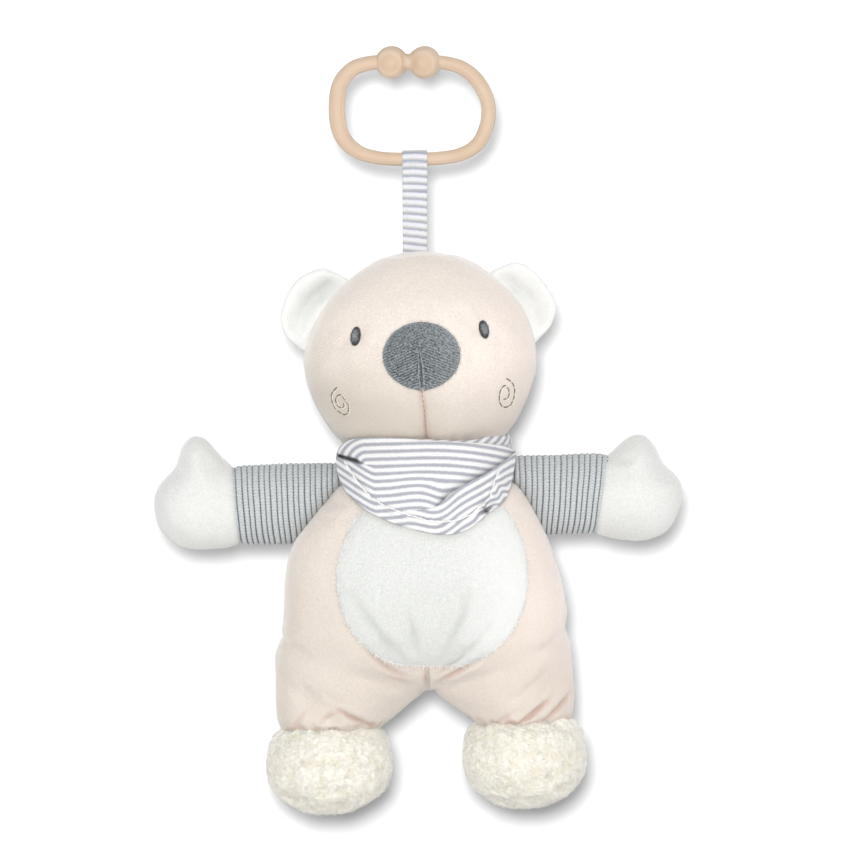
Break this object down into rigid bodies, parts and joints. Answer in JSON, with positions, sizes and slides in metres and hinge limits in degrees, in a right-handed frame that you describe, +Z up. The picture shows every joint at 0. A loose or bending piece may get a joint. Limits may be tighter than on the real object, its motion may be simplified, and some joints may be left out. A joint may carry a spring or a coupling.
{
  "type": "hanging plush bear",
  "caption": "Stuffed velour bear that hangs from a plastic link ring by a striped ribbon, with jointed head, ears, arms, legs and neckerchief, for a pram, cot or play arch",
  "frame": {"origin": "under the two balls of the link ring, where a rail or hook carries the toy", "axes": "+Z up, the face towards -Y, +X to the right as one sees the face"},
  "size_m": [0.2102, 0.0746, 0.3051],
  "materials": {
    "link_plastic": "satin",
    "striped_ribbon": "matte",
    "dark_thread": "satin",
    "olive_thread": "satin",
    "pink_velour": "matte",
    "white_velour": "matte",
    "nose_velour": "matte",
    "rib_knit": "matte",
    "white_plush": "matte",
    "cream_pile": "matte",
    "striped_jersey": "matte",
    "filling": "matte"
  },
  "bodies": {
    "ring": {"link_ring": "link_plastic"},
    "strap": {"ribbon_loop": "striped_ribbon", "bar_tack": "dark_thread"},
    "head": {"ribbon_tail": "striped_ribbon", "head_cover": "pink_velour", "head_filling": "filling", "nose_patch": "nose_velour", "muzzle_seam": "olive_thread", "eye_left": "dark_thread", "eye_right": "dark_thread", "cheek_spiral_left": "olive_thread", "cheek_spiral_right": "olive_thread"},
    "neck": {"neck_filling": "filling"},
    "torso": {"body_cover": "pink_velour", "body_filling": "filling", "belly_patch": "white_plush", "scarf_band": "striped_jersey"},
    "scarf": {"scarf_upper": "striped_jersey", "scarf_under": "striped_jersey"},
    "ear_left": {"ear_left": "white_velour"},
    "arm_left": {"sleeve_left": "rib_knit", "hand_left": "white_velour", "arm_filling_left": "filling"},
    "leg_left": {"leg_cover_left": "pink_velour", "foot_left": "cream_pile", "leg_filling_left": "filling"},
    "ear_right": {"ear_right": "white_velour"},
    "arm_right": {"sleeve_right": "rib_knit", "hand_right": "white_velour", "arm_filling_right": "filling"},
    "leg_right": {"leg_cover_right": "pink_velour", "foot_right": "cream_pile", "leg_filling_right": "filling"}
  },
  "joints": [
    {"name": "ring_swing", "type": "hinge", "parent": "ring", "child": "strap", "pos_m": [0, -0.0022, -0.0317], "axis": [1, 0, 0], "range_deg": [-60, 60]},
    {"name": "ribbon_bend", "type": "hinge", "parent": "strap", "child": "head", "pos_m": [0, -0.0022, -0.04575], "axis": [1, 0, 0], "range_deg": [-40, 40]},
    {"name": "head_turn", "type": "hinge", "parent": "head", "child": "neck", "pos_m": [0, 0, -0.1512], "axis": [0, 0, 1], "range_deg": [-30, 30], "stiffness_Nm_per_rad": 0.08},
    {"name": "head_nod", "type": "hinge", "parent": "neck", "child": "torso", "pos_m": [0, 0, -0.1512], "axis": [1, 0, 0], "range_deg": [-8, 8], "stiffness_Nm_per_rad": 0.35},
    {"name": "scarf_lift", "type": "hinge", "parent": "torso", "child": "scarf", "pos_m": [0, -0.0275, -0.1482], "axis": [-1, 0, 0], "range_deg": [0, 70]},
    {"name": "ear_fold_left", "type": "hinge", "parent": "head", "child": "ear_left", "pos_m": [-0.0394, -0.0016, -0.0897], "axis": [0.5331, 0, 0.8461], "range_deg": [-15, 15], "stiffness_Nm_per_rad": 0.003},
    {"name": "arm_raise_left", "type": "hinge", "parent": "torso", "child": "arm_left", "pos_m": [-0.04, 0, -0.1677], "axis": [0, 1, 0], "range_deg": [-20, 40], "stiffness_Nm_per_rad": 0.08, "springref_deg": 1.72},
    {"name": "leg_swing_left", "type": "hinge", "parent": "torso", "child": "leg_left", "pos_m": [-0.0335, 0, -0.2282], "axis": [-1, 0, 0], "range_deg": [-20, 45], "stiffness_Nm_per_rad": 0.06},
    {"name": "ear_fold_right", "type": "hinge", "parent": "head", "child": "ear_right", "pos_m": [0.0394, -0.0016, -0.0897], "axis": [0.5331, 0, -0.8461], "range_deg": [-15, 15], "stiffness_Nm_per_rad": 0.003},
    {"name": "arm_raise_right", "type": "hinge", "parent": "torso", "child": "arm_right", "pos_m": [0.04, 0, -0.1677], "axis": [0, -1, 0], "range_deg": [-20, 40], "stiffness_Nm_per_rad": 0.08, "springref_deg": 1.72},
    {"name": "leg_swing_right", "type": "hinge", "parent": "torso", "child": "leg_right", "pos_m": [0.0335, 0, -0.2282], "axis": [-1, 0, 0], "range_deg": [-20, 45], "stiffness_Nm_per_rad": 0.06}
  ]
}
